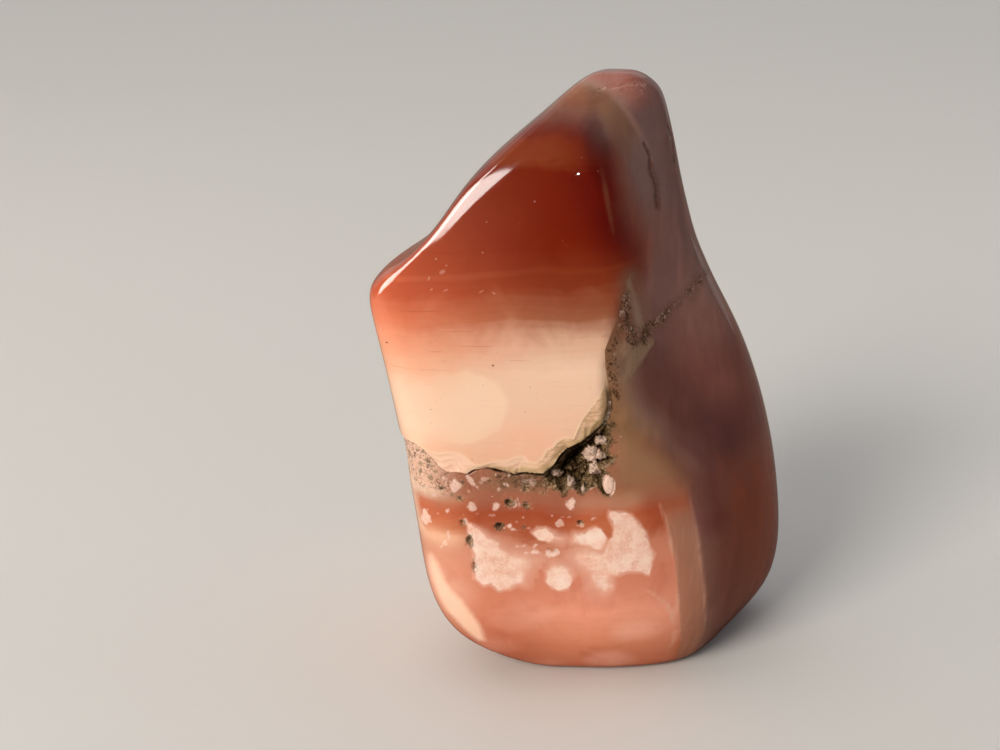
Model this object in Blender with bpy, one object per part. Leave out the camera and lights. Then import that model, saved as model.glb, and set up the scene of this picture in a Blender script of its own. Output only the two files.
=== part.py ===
"""A polished free-form carnelian that stands on a small flat spot. One solid, in metres, +Z up, front to -Y."""

import math
import random

import bpy
import bmesh
from mathutils import Vector
from mathutils.bvhtree import BVHTree

MM = 0.001

# How far the stone reaches at a height, as (height, distance) pairs in millimetres.
# The broad front face ends at the ridge, and the right side starts at the knee.
LEFT = (
    (0, -12), (2.5, -17.2), (6, -21.2), (12, -23.8), (30, -26), (48, -29.7), (55.5, -30.6),
    (58.5, -25), (62, -21.2), (69, -16.6), (75, -8.6), (79, -3.6),
)
RIGHT = (
    (0, 24.5), (2.5, 28.2), (6, 31), (14, 32), (30, 28.7), (42, 25.2), (50, 20.2),
    (58, 16.1), (66, 13.6), (74, 11.8), (79, 9.8),
)
FRONT = (
    (0, -12), (8, -17), (30, -18), (55.5, -13.4), (58.5, -13.2), (62.5, -11.4), (70, -8), (79, -2.5),
)
BACK = ((0, 13), (8, 19), (30, 20), (55, 16), (70, 12), (79, 7))
RIDGE_X = ((0, 4), (20, 4), (34, 3), (50, 4), (62, 2.5), (74, 1), (79, 3))
RIDGE_Y = ((0, -12.5), (8, -18), (30, -18.5), (55, -13), (70, -8), (79, -2.5))
KNEE_X = ((0, 15.5), (12, 16), (24, 15), (36, 9), (50, 7.5), (62, 5.5), (74, 4), (79, 6))
KNEE_Y = ((0, -11), (8, -16), (24, -16.5), (40, -13), (55, -8), (70, -4), (79, -1))
SIDE_Y = ((0, 7.5), (6, 7), (30, 6), (60, 6), (79, 5))
SIDE_FULLNESS = ((0, 0.42), (10, 0.52), (30, 0.72))
CORNER = ((0, 5), (45, 4.6), (50, 3.5), (55.5, 3), (58.5, 0.4), (62.5, 0.7), (70, 1.5), (79, 1))
BACK_INSET = ((0, 5), (20, 6), (60, 4), (79, 2))

# The heights of the rings of points, the flat spot's share of the lowest ring, and the domed tip.
LEVELS = (0, 2.5, 6, 12, 20, 28, 37, 45, 51.5, 55.5, 58.5, 62.5, 67, 71.5, 76, 79.2)
FOOT_SHARE = 0.72
TIP_HEIGHT = 81.2
TIP_SHARE = 0.5
SMOOTHING = 2

# The crack under the chipped rim of the upper plate, as (x, height, radius), from the left edge to the ridge.
CRACK = (
    (-25.3, 35.6, 0.5), (-23.6, 34.9, 0.6), (-21.6, 33.5, 0.6), (-19.4, 32.4, 0.7), (-17, 31.4, 0.9),
    (-14.5, 32, 1), (-12, 32.5, 1), (-9.3, 31.8, 1), (-6.4, 31.4, 1.2), (-4, 32.6, 1.4),
    (-2, 34.3, 1.6), (-0.3, 36, 1.5), (1.3, 37.8, 1.1), (2.2, 40, 0.7), (2.6, 42, 0.6), (2.4, 44, 0.4),
)
CRACK_SIDES = 6

# Hollows in the front face: (x, height, half width, depth, half height). The first is the deep one.
HOLLOWS = (
    (-1.2, 33.3, 3.6, 3.4, 3.1), (-12, 24.9, 1.3, 0.9, 0.9), (-15.8, 22.6, 0.7, 0.8, 1.2),
    (-11.2, 28.2, 0.8, 0.7, 0.7), (-9, 28.4, 0.6, 0.6, 0.7), (-2.2, 24.8, 0.8, 0.6, 0.5),
    (-17.2, 28.8, 0.7, 0.6, 0.5), (-22.4, 31.7, 0.6, 0.5, 0.6), (-19.6, 29.9, 0.6, 0.5, 0.5),
)
# Grains pulled out along the two veins on the side: (x, y, height) of their ends, and how many.
VEINS = (
    ((3.8, -11.5, 55), (3.2, -14.3, 46), 6),
    ((5.2, -12.8, 48), (14.6, -1.6, 53), 6),
)
GRAIN = 0.5
STRAY = 0.8
# Quartz lumps that line the deep hollow: (x, height, how deep, half width, half depth, half height).
LUMPS = (
    (0.9, 35.1, 2.3, 1.4, 1.9, 1), (1.7, 33.2, 1.9, 0.9, 1.6, 1), (-0.3, 31.2, 1.9, 0.9, 1.7, 0.8),
    (-2.9, 31.3, 2, 0.9, 1.7, 0.9), (-3.7, 33.4, 2.4, 0.8, 1.7, 0.9), (-1.2, 33, 3.3, 1, 1.1, 0.9),
)

COLOUR = (0.53, 0.17, 0.11, 1)
ROUGHNESS = 0.15


def at(profile, height):
    """The profile's value at a height, on straight lines between its points."""
    for (low, before), (high, after) in zip(profile, profile[1:]):
        if height <= high:
            break
    share = (height - low) / (high - low)
    return before + (after - before) * min(max(share, 0), 1)


def outline(z):
    """The twelve points round the stone at height z, from the front left corner towards the right."""
    left, right = at(LEFT, z), at(RIGHT, z)
    front, back, side = at(FRONT, z), at(BACK, z), at(SIDE_Y, z)
    corner, inset = at(CORNER, z), at(BACK_INSET, z)
    ridge = Vector((at(RIDGE_X, z), at(RIDGE_Y, z)))
    knee = Vector((at(KNEE_X, z), at(KNEE_Y, z)))
    start = Vector((left + corner, front))
    fullness = at(SIDE_FULLNESS, z)
    points = [start, start.lerp(ridge, 0.4), start.lerp(ridge, 0.75), ridge, knee]
    points.append((knee.x + (right - knee.x) * fullness, knee.y + (side - knee.y) * 0.45))
    points.append((right, side))
    points.append((right - inset, back - (back - side) * 0.25))
    points.append((left + (right - left) * 0.65, back))
    points.append((left + (right - left) * 0.32, back))
    points.append((left + inset, back - (back - front) * 0.18))
    points.append((left, front + corner * 1.3))
    return [Vector(p) for p in points]


def drawn_in(points, share):
    """The same points, drawn towards their middle."""
    middle = sum(points, Vector((0, 0))) / len(points)
    return [middle.lerp(p, share) for p in points]


def new_object(name, mesh):
    """An object from a bmesh, with its faces pointing outwards."""
    bmesh.ops.recalc_face_normals(mesh, faces=mesh.faces)
    data = bpy.data.meshes.new(name)
    mesh.to_mesh(data)
    mesh.free()
    obj = bpy.data.objects.new(name, data)
    bpy.context.collection.objects.link(obj)
    return obj


def stone():
    """Rings of points from the flat spot to the tip, each end closed by a grid, then smoothed."""
    rings = [(0, drawn_in(outline(0), FOOT_SHARE))]
    rings += [(z, outline(z)) for z in LEVELS]
    rings += [(TIP_HEIGHT, drawn_in(outline(LEVELS[-1]), TIP_SHARE))]
    mesh = bmesh.new()
    loops = [[mesh.verts.new((p.x * MM, p.y * MM, z * MM)) for p in points] for z, points in rings]
    for low, high in zip(loops, loops[1:]):
        for i in range(len(low)):
            mesh.faces.new((low[i - 1], low[i], high[i], high[i - 1]))
    for loop in (loops[0], loops[-1]):
        opposite = [mesh.edges.get((loop[i], loop[i + 1])) for i in (0, 1, 2, 6, 7, 8)]
        bmesh.ops.grid_fill(mesh, edges=opposite)
    obj = new_object("carnelian", mesh)
    smooth = obj.modifiers.new("smooth", "SUBSURF")
    smooth.levels = smooth.render_levels = SMOOTHING
    return obj


def crack(skin):
    """A ragged tube that follows the skin along the crack, half sunk in it."""
    mesh = bmesh.new()
    points = [skin.ray_cast(Vector((x, -60, z)) * MM, Vector((0, 1, 0)))[:2] for x, z, _ in CRACK]
    last = len(points) - 1
    loops = []
    for i, (place, normal) in enumerate(points):
        along = points[min(i + 1, last)][0] - points[max(i - 1, 0)][0]
        across = along.cross(normal).normalized()
        loop = []
        for side in range(CRACK_SIDES):
            angle = 2 * math.pi * side / CRACK_SIDES
            reach = CRACK[i][2] * MM * random.uniform(0.8, 1.15)
            offset = normal * math.cos(angle) + across * math.sin(angle)
            loop.append(mesh.verts.new(place + offset * reach))
        loops.append(loop)
    for a, b in zip(loops, loops[1:]):
        for i in range(CRACK_SIDES):
            mesh.faces.new((a[i - 1], a[i], b[i], b[i - 1]))
    mesh.faces.new(loops[0])
    mesh.faces.new(loops[-1])
    return new_object("crack", mesh)


def add_pebble(mesh, place, size, rounds):
    """A small uneven ball at a place, with a half width, depth and half height in millimetres."""
    made = bmesh.ops.create_icosphere(mesh, subdivisions=rounds, radius=1)
    for vert in made["verts"]:
        uneven = random.uniform(0.8, 1.12)
        vert.co = place + Vector(c * s * MM * uneven for c, s in zip(vert.co, size))


def hollows(skin):
    """The deep hollow at the right end of the crack, the small pits and the grains missing from the veins."""
    mesh = bmesh.new()
    for i, (x, z, *size) in enumerate(HOLLOWS):
        place = skin.ray_cast(Vector((x, -60, z)) * MM, Vector((0, 1, 0)))[0]
        add_pebble(mesh, place, size, 1 if i else 2)
    for start, end, count in VEINS:
        for i in range(count):
            wanted = Vector(start).lerp(Vector(end), (i + random.uniform(0.2, 0.8)) / count)
            wanted += Vector([random.uniform(-STRAY, STRAY) for _ in range(3)])
            place = skin.find_nearest(wanted * MM)[0]
            add_pebble(mesh, place, [GRAIN * random.uniform(0.7, 1.7) for _ in range(3)], 1)
    return new_object("hollows", mesh)


def lumps(skin):
    """The quartz lumps that grow from the floor of the deep hollow and stay below the skin."""
    mesh = bmesh.new()
    for x, z, deep, *size in LUMPS:
        place = skin.ray_cast(Vector((x, -60, z)) * MM, Vector((0, 1, 0)))[0]
        add_pebble(mesh, place + Vector((0, deep * MM, 0)), size, 1)
    return new_object("lumps", mesh)


def combine(obj, other, operation):
    """A Boolean between the stone and a helper that stays out of the result."""
    step = obj.modifiers.new(other.name, "BOOLEAN")
    step.operation = operation
    step.object = other
    other.hide_render = True
    other.display_type = "WIRE"


def polish(obj):
    """One polished material, and smooth shading."""
    material = bpy.data.materials.new("polished carnelian")
    material.use_nodes = True
    shader = material.node_tree.nodes["Principled BSDF"]
    shader.inputs["Base Color"].default_value = COLOUR
    shader.inputs["Roughness"].default_value = ROUGHNESS
    shader.inputs["Metallic"].default_value = 0
    obj.data.materials.append(material)
    obj.data.shade_smooth()


for old in list(bpy.data.objects):
    bpy.data.objects.remove(old)
random.seed(7)
carnelian = stone()
polish(carnelian)
skin = BVHTree.FromObject(carnelian, bpy.context.evaluated_depsgraph_get())
combine(carnelian, crack(skin), "DIFFERENCE")
combine(carnelian, hollows(skin), "DIFFERENCE")
combine(carnelian, lumps(skin), "UNION")
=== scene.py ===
import math

import bmesh
import bpy
import numpy as np
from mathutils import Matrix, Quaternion, Vector, noise


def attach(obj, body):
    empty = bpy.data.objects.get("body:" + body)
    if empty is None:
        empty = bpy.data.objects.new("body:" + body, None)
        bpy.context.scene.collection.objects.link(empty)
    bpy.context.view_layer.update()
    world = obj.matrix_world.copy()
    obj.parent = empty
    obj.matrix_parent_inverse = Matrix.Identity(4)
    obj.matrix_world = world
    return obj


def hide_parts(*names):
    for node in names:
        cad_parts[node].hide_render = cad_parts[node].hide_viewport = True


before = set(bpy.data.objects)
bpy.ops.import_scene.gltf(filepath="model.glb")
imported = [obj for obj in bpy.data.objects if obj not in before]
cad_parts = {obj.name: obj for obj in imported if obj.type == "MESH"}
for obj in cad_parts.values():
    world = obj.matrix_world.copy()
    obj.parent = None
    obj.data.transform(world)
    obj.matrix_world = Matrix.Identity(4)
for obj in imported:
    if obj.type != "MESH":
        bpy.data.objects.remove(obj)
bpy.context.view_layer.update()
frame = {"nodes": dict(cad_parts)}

mm = 0.001
scene = bpy.context.scene
print("frame loaded:", ", ".join(frame["nodes"]))


# How far the stone reaches, as (height, distance) pairs in mm, the same as in the solid.
stoneForm = {
    "left": (
        (0, -12), (2.5, -17.2), (6, -21.2), (12, -23.8), (30, -26), (48, -29.7), (55.5, -30.6),
        (58.5, -25), (62, -21.2), (69, -16.6), (75, -8.6), (79, -3.6),
    ),
    "right": (
        (0, 24.5), (2.5, 28.2), (6, 31), (14, 32), (30, 28.7), (42, 25.2), (50, 20.2),
        (58, 16.1), (66, 13.6), (74, 11.8), (79, 9.8),
    ),
    "front": (
        (0, -12), (8, -17), (30, -18), (55.5, -13.4), (58.5, -13.2), (62.5, -11.4), (70, -8), (79, -2.5),
    ),
    "back": ((0, 13), (8, 19), (30, 20), (55, 16), (70, 12), (79, 7)),
    "ridgeAcross": ((0, 4), (20, 4), (34, 3), (50, 4), (62, 2.5), (74, 1), (79, 3)),
    "ridgeOut": ((0, -12.5), (8, -18), (30, -18.5), (55, -13), (70, -8), (79, -2.5)),
    "kneeAcross": (
        (0, 15.5), (12, 16), (24, 15), (36, 9), (50, 7.5), (62, 5.5), (74, 4), (79, 6),
    ),
    "kneeOut": ((0, -11), (8, -16), (24, -16.5), (40, -13), (55, -8), (70, -4), (79, -1)),
    "side": ((0, 7.5), (6, 7), (30, 6), (60, 6), (79, 5)),
    "sideFullness": ((0, 0.42), (10, 0.52), (30, 0.72)),
    "corner": ((0, 5), (45, 4.6), (50, 3.5), (55.5, 3), (58.5, 0.4), (62.5, 0.7), (70, 1.5), (79, 1)),
    "backInset": ((0, 5), (20, 6), (60, 4), (79, 2)),
    "levels": (0, 2.5, 6, 12, 20, 28, 37, 45, 51.5, 55.5, 58.5, 62.5, 67, 71.5, 76, 79.2),
    "footShare": 0.72,
    "tipHeight": 81.2,
    "tipShare": 0.5,
    "smoothing": 3,
    "guideSmoothing": 6,
}


def reach(name, height):
    heights, distances = zip(*stoneForm[name])
    return float(np.interp(height, heights, distances))


def ringAt(z):  # twelve points round the stone, from the front left corner towards the right
    left, right, front, back = (reach(name, z) for name in ("left", "right", "front", "back"))
    side, corner, inset = (reach(name, z) for name in ("side", "corner", "backInset"))
    ridge = np.array((reach("ridgeAcross", z), reach("ridgeOut", z)))
    knee = np.array((reach("kneeAcross", z), reach("kneeOut", z)))
    start = np.array((left + corner, front))
    fullness = reach("sideFullness", z)
    return np.array([
        start,
        start + (ridge - start) * 0.4,
        start + (ridge - start) * 0.75,
        ridge,
        knee,
        (knee[0] + (right - knee[0]) * fullness, knee[1] + (side - knee[1]) * 0.45),
        (right, side),
        (right - inset, back - (back - side) * 0.25),
        (left + (right - left) * 0.65, back),
        (left + (right - left) * 0.32, back),
        (left + inset, back - (back - front) * 0.18),
        (left, front + corner * 1.3),
    ])


def drawnIn(points, share):
    return points.mean(axis=0) + (points - points.mean(axis=0)) * share


def pickObject(obj):
    bpy.ops.object.select_all(action="DESELECT")
    obj.select_set(True)
    bpy.context.view_layer.objects.active = obj


def buildStone():
    levels = stoneForm["levels"]
    rings = [(0, drawnIn(ringAt(0), stoneForm["footShare"]))]
    rings += [(z, ringAt(z)) for z in levels]
    rings.append((stoneForm["tipHeight"], drawnIn(ringAt(levels[-1]), stoneForm["tipShare"])))
    step = 0.005  # between the rings of a plain tube
    bpy.ops.object.select_all(action="DESELECT")
    bpy.ops.mesh.primitive_circle_add(vertices=12, radius=0.025, location=(0, 0, 0))
    stone = bpy.context.object
    stone.name = stone.data.name = "polishedStone"
    bpy.ops.object.mode_set(mode="EDIT")
    bpy.ops.mesh.select_mode(type="EDGE")
    for _ in rings[1:]:
        bpy.ops.mesh.extrude_region_move(TRANSFORM_OT_translate={"value": (0, 0, step)})
    mesh = bmesh.from_edit_mesh(stone.data)
    placed = {}
    for vert in mesh.verts:  # each point of the plain tube goes to its place on the stone
        level = round(vert.co.z / step)
        point = round((math.degrees(math.atan2(vert.co.y, vert.co.x)) + 150) / 30) % 12
        placed[level, point] = vert
    for (level, point), vert in placed.items():
        height, ring = rings[level]
        vert.co = Vector((*ring[point], height)) * mm
    for level in (0, len(rings) - 1):  # each end is closed by a grid of nine faces
        bpy.ops.mesh.select_all(action="DESELECT")
        for point in (0, 1, 2, 6, 7, 8):
            ends = placed[level, point], placed[level, point + 1]
            mesh.edges.get(ends).select_set(True)
        bmesh.update_edit_mesh(stone.data)
        bpy.ops.mesh.fill_grid()
    bpy.ops.mesh.select_all(action="SELECT")
    bpy.ops.mesh.normals_make_consistent(inside=False)
    bpy.ops.object.mode_set(mode="OBJECT")
    return stone


def addSmoothing(obj, levels):
    pickObject(obj)
    bpy.ops.object.modifier_add(type="SUBSURF")
    modifier = obj.modifiers[-1]
    modifier.levels = modifier.render_levels = levels
    return modifier.name


stone = buildStone()
pickObject(stone)
bpy.ops.object.duplicate()
guide = bpy.context.object  # a finer copy that the detail is laid on, deleted below
addSmoothing(guide, stoneForm["guideSmoothing"])
smoothing = addSmoothing(stone, stoneForm["smoothing"])
bpy.ops.object.modifier_apply(modifier=smoothing)
print("stone shaped:", len(stone.data.polygons), "faces")


# Lines and outlines on the front are (across, height) in mm.

# The chipped rim under the cream plate and on up its right edge: (across, height, how deep the gap is).
rimLine = (
    (-40, 36.4, 0), (-34, 35.4, 0.3), (-29, 36.1, 0.5), (-25, 35.2, 0.6), (-23.6, 35.3, 0.6),
    (-22.5, 35, 0.7), (-21.7, 34.4, 0.7), (-20.5, 33.4, 0.7), (-19.8, 32.6, 0.7), (-18.9, 32.2, 0.6),
    (-17.7, 32.3, 0.6), (-16.3, 32.1, 1), (-15.4, 32.7, 1.3), (-13.5, 33, 1.4), (-11.8, 32.6, 1.4),
    (-10.1, 32.1, 1.4), (-9, 32.4, 1.4), (-7.1, 32.2, 1.5), (-6.4, 32.2, 1.6), (-5, 33.4, 1.8),
    (-4.3, 34.6, 1.9), (-3.4, 35.5, 2), (-1.4, 36.5, 2), (0, 37.6, 1.8), (1.4, 38.8, 1.3),
    (1.9, 39.6, 0.8), (2.2, 41, 0.5), (1.9, 43.7, 0.25), (1.5, 46.2, 0.1), (1.4, 48.1, 0.05),
    (2.3, 50.4, 0), (3.2, 52.2, 0), (4.1, 54.6, 0), (4.7, 57, 0),
)
# The upper edge of the chips, where the polish ends: (across, height, how deep the chips go at the rim).
chipLine = (
    (-40, 36.8, 0), (-34, 36.2, 0.2), (-29, 36.6, 0.25), (-25, 35.7, 0.3), (-23, 35.6, 0.35),
    (-21.7, 34.9, 0.4), (-20.7, 34.7, 0.5), (-19.8, 34.7, 0.45), (-18.9, 35, 0.6), (-17.5, 35, 0.6),
    (-16.4, 34.4, 0.6), (-15.6, 33.7, 0.45), (-14.9, 33.3, 0.3), (-14.2, 33.4, 0.4),
    (-13.1, 33.8, 0.5), (-12.4, 33.9, 0.55), (-11.2, 33.9, 0.6), (-10.1, 34.5, 0.7),
    (-8.9, 34.6, 0.6), (-8.2, 33.9, 0.5), (-7.3, 33.7, 0.45), (-6.5, 34.4, 0.6), (-6, 35.4, 0.5),
    (-5.2, 35.8, 0.7), (-4.6, 36.5, 0.7), (-3.7, 37.1, 0.7), (-2.5, 37, 0.6), (-2.1, 37.9, 0.8),
    (-1.5, 39.3, 0.9), (-0.7, 40.4, 0.8), (0.3, 41.7, 0.6), (1, 42.6, 0.35), (1.4, 43.8, 0.15),
    (1.3, 46.2, 0.05), (1.3, 48.1, 0), (2.2, 50.5, 0), (3.1, 52.3, 0), (4, 54.8, 0), (4.6, 57, 0),
)
hollowOutline = (
    (-6.6, 31.9), (-5.8, 30.7), (-4.8, 30.2), (-3.9, 29.4), (-2.9, 30.1), (-2.2, 30.2), (-1.4, 29.3),
    (-0.6, 29.9), (0.6, 30.5), (1.4, 29.3), (2.3, 29), (3, 29.8), (3.1, 31.2), (2.3, 32), (1.7, 33.1),
    (2.9, 33.6), (3.1, 34.2), (2.1, 35.1), (2.5, 36.5), (2.5, 37.9), (1.9, 39), (0, 37.6),
    (-1.4, 36.5), (-3.4, 35.5), (-4.3, 34.6), (-5, 33.4), (-6.2, 32.6),
)
darkFloor = (
    (-2.4, 36.1), (-0.6, 36.8), (-1, 35.4), (-1.5, 34.2), (-2.9, 33), (-3.8, 32.3), (-3.5, 33.6),
)
# The pale cloudy patches low on the front: the outline, where its edge is soft, and how soft in mm.
cloudPatches = (
    ((
        (-16.4, 25.4), (-16.1, 22.6), (-15.3, 20.2), (-15.5, 17), (-14.2, 15.9), (-13.3, 16.1),
        (-12.2, 15.2), (-10.5, 15.5), (-9.7, 16.3), (-8.7, 16.2), (-8.2, 18), (-7.2, 20),
        (-8.4, 21), (-11, 21.3), (-12.8, 23), (-14.6, 24.5), (-15.8, 25.3),
    ), (1, 0.5), 2.4),
    ((
        (-5.9, 18.4), (-4.9, 19.5), (-3.8, 19.6), (-2.6, 19.1), (-2.1, 17.9), (-2.7, 15.8),
        (-3.9, 15.3), (-5.1, 15.7), (-5.9, 16.8),
    ), (0.3, 1), 1.2),
    ((
        (2.3, 27.2), (4.2, 27), (5.3, 26.5), (6.5, 24.9), (7.3, 23.8), (7.8, 21.7), (8.4, 20.6),
        (7.9, 17.5), (6.6, 18), (5.1, 18.2), (2.9, 17.7), (3.1, 15.8), (2, 15.2), (0.8, 15.8),
        (0.1, 16.5), (-0.4, 18), (-2, 19.3), (-2.8, 20.4), (-2, 21.5), (-0.6, 22.1), (1.3, 21.4),
        (2.3, 23.1), (2.9, 24.4), (2.6, 25.6), (2.2, 26.4),
    ), (-1, -0.35), 1.8),
    ((
        (-2.8, 23.1), (-2.2, 24.1), (-0.9, 24.3), (-0.2, 24.9), (0.5, 25.2), (1.3, 24.7),
        (2.3, 23.2), (1.5, 21.5), (0.3, 21.8), (-0.9, 22.3), (-2.5, 22.6),
    ), (-1, 0), 0.4),
    ((
        (-8, 24.1), (-7, 24.8), (-6, 24.9), (-5.2, 24.4), (-4.3, 23.7), (-3.3, 23.4),
        (-3.9, 22.9), (-5.7, 22.8), (-7.1, 23.1),
    ), (1, -0.4), 0.9),
)
# Where the patches are whitest: (across, height, reach, amount).
brightSpots = (
    (-15.6, 21.5, 1.2, 1), (-15.3, 18.5, 1.2, 0.9), (-13.4, 16.6, 1.2, 0.7), (-9.6, 16.9, 0.8, 0.8),
    (-3.8, 16.9, 1.3, 0.9), (-2, 23.2, 1.2, 0.9), (-0.2, 23.4, 1.2, 1), (1, 23.8, 0.9, 1),
    (1.3, 16.6, 1, 0.7), (3.6, 26, 1, 0.5), (6.8, 20, 1.2, 0.5), (4, 19.6, 1.2, 0.4), (-6.4, 24, 0.9, 0.6),
)
# Cream bands low on the left edge: partly the stone's own cream and partly a painted reflection of the
# light on the rounded edge.
leftCreamAndReflection = (
    (-21.2, 19.8), (-20.3, 18.5), (-19.5, 16.3), (-18.5, 14.7), (-17.1, 13.4), (-15.8, 11.4),
    (-14.7, 9.6), (-14.2, 7.9), (-13.9, 6.3), (-15, 5.9), (-16.7, 7.6), (-18, 9.2), (-19.4, 10.7),
    (-20.5, 12.6), (-21.2, 14.6), (-21.8, 17), (-21.8, 18.8),
)
# A pale strip up the left edge: a painted reflection of the light on the rounded edge, over the stone's
# own cream.
leftEdgeCreamAndReflection = (
    (-24.6, 34.2), (-24, 32.4), (-23.5, 29.8), (-22.8, 26.4), (-22.2, 23.2), (-22.9, 22.4), (-24, 25.2),
    (-25.4, 28.8), (-26.4, 33.6),
)
# Small pale marks: (across, height, half width, half height, how pale).
paleMarks = (
    (-7.5, 21.2, 0.75, 0.36, 1), (-5.5, 21, 0.7, 0.4, 1), (-4.6, 21.2, 0.55, 0.4, 1),
    (-15.7, 27.6, 0.6, 0.5, 0.7), (-12.5, 27.7, 0.4, 0.5, 0.8), (-17.9, 30.3, 0.75, 0.75, 0.75),
    (-14.1, 31.4, 0.35, 0.25, 0.5), (-21.9, 25, 0.65, 1.25, 0.85), (-4.2, 25.5, 0.5, 0.5, 0.6),
    (-8.6, 31.2, 0.9, 0.3, 0.6), (-7.6, 31, 0.5, 0.35, 0.5), (-11.1, 30.7, 0.2, 0.2, 0.8),
    (-11.8, 31.6, 0.2, 0.2, 0.5), (-16.1, 29.6, 0.2, 0.18, 0.5), (-12.1, 30.1, 0.18, 0.16, 0.5),
    (-19, 26.7, 0.22, 0.2, 0.6), (-15, 26.6, 0.16, 0.16, 0.4), (-13.1, 26.5, 0.2, 0.16, 0.5),
    (-12.5, 22.4, 0.22, 0.2, 0.9), (-9.9, 22.1, 0.22, 0.16, 0.7), (-9, 22.1, 0.16, 0.14, 0.7),
    (-7.2, 22.2, 0.25, 0.16, 0.7), (-2.8, 28.2, 0.6, 0.75, 0.85), (-2.9, 26.4, 0.4, 0.14, 0.5),
    (0.2, 26.2, 0.25, 0.2, 0.5), (-10.9, 24.9, 0.35, 0.3, 0.9), (-10.3, 24.6, 0.3, 0.2, 0.7),
    (-9.6, 28.2, 0.2, 0.4, 0.6), (-1.3, 25.2, 0.3, 0.2, 0.6), (-20.7, 28.6, 0.3, 0.25, 0.4),
    (-3.2, 20.8, 0.3, 0.2, 0.5), (-8.4, 24.7, 0.25, 0.12, 0.5), (-14.6, 30.9, 0.3, 0.2, 0.35),
)
paleStreaks = (  # (across, height, half width)
    ((-16.4, 31.8, 0.28), (-15, 30.3, 0.22)),
    ((-18.8, 23.6, 0.15), (-18.9, 22.8, 0.22), (-19.4, 21.9, 0.22), (-19.9, 21.2, 0.12)),
    ((-16.9, 26.4, 0.1), (-16.4, 25.2, 0.14)),
    ((-10.1, 28.4, 0.1), (-9.9, 27.9, 0.16), (-10.3, 27.5, 0.1)),
)
# Pits: (across, height, half width, half height, depth).
pits = (
    (-12, 24.9, 0.85, 0.6, 0.8), (-10.8, 28.2, 0.65, 0.6, 0.6), (-8.6, 27.9, 0.62, 0.45, 0.5),
    (-8.8, 30.2, 0.5, 0.48, 0.6), (-19.7, 29.8, 0.36, 0.4, 0.5), (-18.3, 29.1, 0.3, 0.3, 0.3),
    (-21.2, 30.9, 0.36, 0.32, 0.4), (-16, 22.7, 0.5, 0.9, 0.45), (-15.5, 18.9, 0.28, 0.6, 0.35),
    (-17, 25.3, 0.35, 0.45, 0.35), (-8.9, 24.8, 0.22, 0.2, 0.2), (-13.5, 31.1, 0.2, 0.16, 0.2),
    (-22.3, 34.5, 0.35, 0.28, 0.35), (-21.6, 33.4, 0.3, 0.3, 0.35), (-21.5, 32.7, 0.35, 0.3, 0.4),
    (-22.7, 32.7, 0.3, 0.3, 0.3), (-24.3, 33.2, 0.35, 0.45, 0.3), (-1.5, 25.6, 0.35, 0.3, 0.4),
    (-22.6, 31.6, 0.3, 0.25, 0.3), (-20.6, 32, 0.25, 0.25, 0.25), (-5.1, 21.6, 0.4, 0.18, 0.25),
    (-17.4, 28.6, 0.4, 0.35, 0.35), (-16.9, 30.9, 0.3, 0.3, 0.3), (-6.3, 29.7, 0.25, 0.3, 0.25),
)
# Quartz lumps in the hollow: (across, height, half width, half height, depth of the top, flat sides).
hollowLumps = (
    (-0.2, 34.7, 0.8, 1.15, 0.8, 5), (1.2, 36.4, 0.95, 0.75, 0.5, 7), (1.1, 34.6, 0.8, 0.6, 0.45, 6),
    (2.2, 30.6, 0.72, 1.15, 0.05, 0), (-2.7, 30.9, 0.6, 0.75, 0.4, 5), (0.6, 32.4, 1, 0.9, 1.4, 6),
    (-4.6, 31.8, 0.8, 0.6, 1.3, 7), (-1.2, 29.9, 0.45, 0.3, 0.3, 4), (0.9, 37.8, 0.6, 0.45, 0.6, 5),
)
crustOutline = (  # a greenish patch beside the plate
    (3.2, 48.9), (5.6, 48.8), (8, 48.6), (8.1, 47.7), (6.6, 46.2), (5.2, 44.5), (4, 44),
    (3.1, 44.2), (2.4, 46.4),
)
# Specks on the polish: (across, height, half width, half height, turn in degrees).
frontSpecks = {
    "pale": (
        (-19.3, 58.1, 0.42, 0.26, 25), (-18.8, 58.9, 0.14, 0.12, 0), (-20.1, 59.7, 0.18, 0.12, 30),
        (-21, 57.3, 0.14, 0.3, -20), (-20.7, 55.9, 0.2, 0.13, 40), (-18.9, 55.8, 0.35, 0.1, 20),
        (-14.4, 55.6, 0.35, 0.1, 30), (-12.8, 55.4, 0.3, 0.12, -30), (-11.4, 50.3, 0.4, 0.12, 0),
        (-14.2, 60.4, 0.12, 0.12, 0), (-13.7, 64, 0.1, 0.1, 0), (-7.6, 66.4, 0.16, 0.1, 0),
    ),
    "dark": ((-12.9, 46.3, 0.16, 0.14, 0), (-26.6, 48.6, 0.2, 0.13, 0)),
    "hairlines": (
        (-22.3, 53.1, 2.6, 0.07, 1), (-20.1, 48, 1, 0.06, 2), (-15, 48.7, 2.7, 0.06, -1),
        (-25.4, 45.6, 1.9, 0.06, 0), (-17.7, 50.6, 2.5, 0.05, 1), (-9.5, 46.9, 1.4, 0.05, -1),
    ),
}
# Where the banded front meets the mauve side, from the tip down: (across, height).
sideLine = (
    (2.4, 84), (2.5, 79), (1.3, 75.5), (1.2, 71.3), (2, 68), (2.8, 65), (4, 62), (5.1, 59.4),
    (4.8, 57.5), (3.8, 55.5), (2.6, 52), (1.8, 48), (1.7, 44), (2.4, 41), (4.4, 37.4), (7.4, 34),
    (10.6, 31), (12.5, 28.8), (13.3, 26.6), (14.3, 22.9), (15.2, 17.7), (15.9, 12.9), (16.3, 8.8),
    (16.3, 6), (15.6, 2), (15, -2),
)
# The line under the pink cap at the tip.
capLine = (
    (-8, 81.6), (-3, 80.9), (-0.4, 80.3), (1.3, 79.8), (2.3, 79.3), (3.4, 78.3), (4.3, 77.2),
    (5.2, 75.9), (6.2, 74.3), (7.1, 72.4), (7.9, 69), (9, 62),
)
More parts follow.
